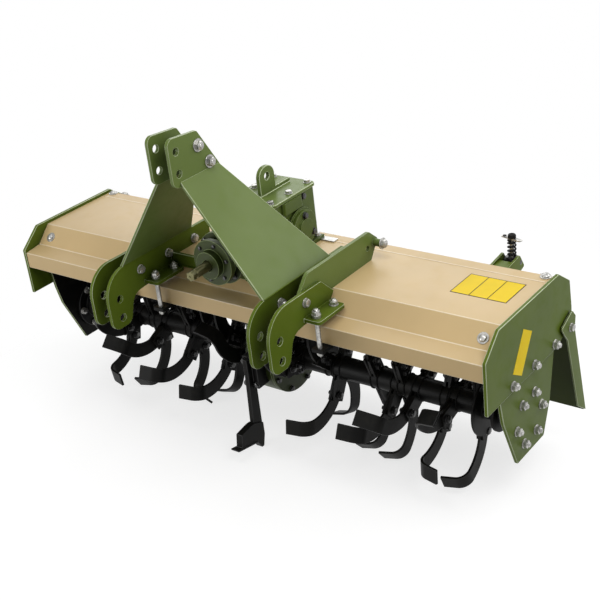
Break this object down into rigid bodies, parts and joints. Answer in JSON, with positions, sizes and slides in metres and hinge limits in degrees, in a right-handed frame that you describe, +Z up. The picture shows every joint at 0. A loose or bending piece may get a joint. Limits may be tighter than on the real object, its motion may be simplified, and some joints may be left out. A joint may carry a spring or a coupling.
{
  "type": "rotary tiller",
  "caption": "Tractor-mounted rotary tiller with central gear drive, three-point hitch, bladed rotor under a folded deck and a hinged tail board.",
  "frame": {"origin": "middle of the machine's box in plan, at ground level", "axes": "+X to the machine's right along the rotor, +Y rearwards, +Z up"},
  "size_m": [2.026, 0.8918, 1.2544],
  "materials": {
    "cream_paint": "satin",
    "green_paint": "satin",
    "black_paint": "satin",
    "zinc_plate": "satin",
    "bare_steel": "machined"
  },
  "bodies": {
    "frame": {"beam_clamps": "zinc_plate", "bearing_housing_left": "black_paint", "bearing_housing_right": "black_paint", "bearing_plate_left": "green_paint", "bearing_plate_right": "green_paint", "cross_plate": "green_paint", "deck": "cream_paint", "drop_case": "green_paint", "drop_covers": "green_paint", "end_plate_left": "green_paint", "end_plate_right": "green_paint", "front_beam": "green_paint", "gearbox_case": "green_paint", "gearbox_cover": "green_paint", "hitch_plate_inner_left": "green_paint", "hitch_plate_inner_right": "green_paint", "hitch_plate_outer_left": "green_paint", "hitch_plate_outer_right": "green_paint", "input_housing": "green_paint", "mast_bolts": "zinc_plate", "mast_leg_left": "green_paint", "mast_leg_right": "green_paint", "mast_plate_left": "green_paint", "mast_plate_right": "green_paint", "rear_beam": "green_paint", "share_foot": "black_paint", "share_leg": "black_paint", "side_covers": "green_paint", "spring_brackets": "green_paint", "stay_arm": "green_paint", "tail_pins": "zinc_plate"},
    "rotor": {"rotor_left": "black_paint", "rotor_right": "black_paint", "blades_left": "black_paint", "blades_right": "black_paint", "rotor_shaft": "black_paint"},
    "input": {"input_shaft": "bare_steel"},
    "tail": {"tail_board": "green_paint", "tail_sides": "green_paint", "rod_lugs": "green_paint"},
    "trunnion_left": {"trunnion_left": "zinc_plate", "spring_left": "black_paint"},
    "trunnion_right": {"trunnion_right": "zinc_plate", "spring_right": "black_paint"},
    "rod_left": {"spring_rod_left": "zinc_plate"},
    "rod_right": {"spring_rod_right": "zinc_plate"}
  },
  "joints": [
    {"name": "rotor_spin", "type": "hinge", "parent": "frame", "child": "rotor", "pos_m": [0, 0.05613, 0.29462], "axis": [1, 0, 0], "continuous": true},
    {"name": "input_spin", "type": "hinge", "parent": "frame", "child": "input", "pos_m": [0, -0.30187, 0.77462], "axis": [0, 1, 0], "continuous": true},
    {"name": "tail_hinge", "type": "hinge", "parent": "frame", "child": "tail", "pos_m": [0, 0.31413, 0.49462], "axis": [1, 0, 0], "range_deg": [0, 45]},
    {"name": "trunnion_tilt_left", "type": "hinge", "parent": "frame", "child": "trunnion_left", "pos_m": [-0.74, 0.42213, 0.63462], "axis": [1, 0, 0], "range_deg": [0, 17.2]},
    {"name": "rod_slide_left", "type": "slide", "parent": "trunnion_left", "child": "rod_left", "axis": [0, 0.0599, 0.9982], "range_m": [0, 0.09199]},
    {"name": "trunnion_tilt_right", "type": "hinge", "parent": "frame", "child": "trunnion_right", "pos_m": [0.74, 0.42213, 0.63462], "axis": [1, 0, 0], "range_deg": [0, 17.2]},
    {"name": "rod_slide_right", "type": "slide", "parent": "trunnion_right", "child": "rod_right", "axis": [0, 0.0599, 0.9982], "range_m": [0, 0.09199]}
  ],
  "couplings": [
    {"joint": "input_spin", "follows": "rotor_spin", "ratio": 2.45},
    {"joint": "trunnion_tilt_left", "follows": "tail_hinge", "ratio": 0.382},
    {"joint": "rod_slide_left", "follows": "tail_hinge", "m_per_rad": 0.117},
    {"joint": "trunnion_tilt_right", "follows": "tail_hinge", "ratio": 0.382},
    {"joint": "rod_slide_right", "follows": "tail_hinge", "m_per_rad": 0.117}
  ]
}
